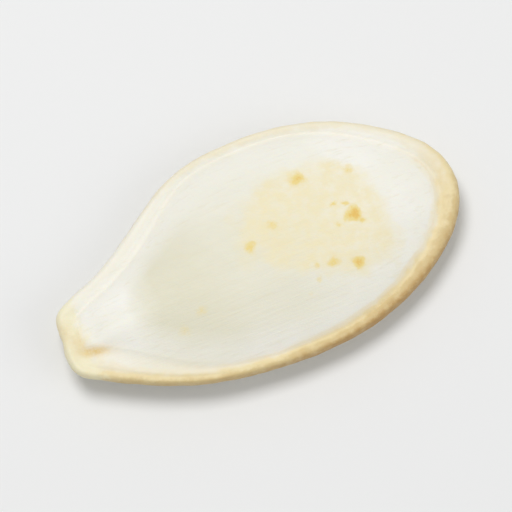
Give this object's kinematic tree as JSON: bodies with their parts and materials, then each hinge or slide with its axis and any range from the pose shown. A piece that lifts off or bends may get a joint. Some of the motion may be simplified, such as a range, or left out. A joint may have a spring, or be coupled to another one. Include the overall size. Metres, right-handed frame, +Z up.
{
  "type": "pumpkin seed",
  "caption": "Flat egg-shaped pumpkin seed in its pale hull, with a raised margin, a groove inside it and a blunt tip.",
  "frame": {"origin": "bottom centre of the bounding box, on the surface that the seed's belly rests on", "axes": "+X along the long axis from the blunt tip towards the round end, +Z up through the thickness"},
  "size_m": [0.021, 0.0114, 0.0031],
  "materials": {
    "hull": "satin"
  },
  "bodies": {
    "root": {"seed_hull": "hull"}
  },
  "joints": []
}
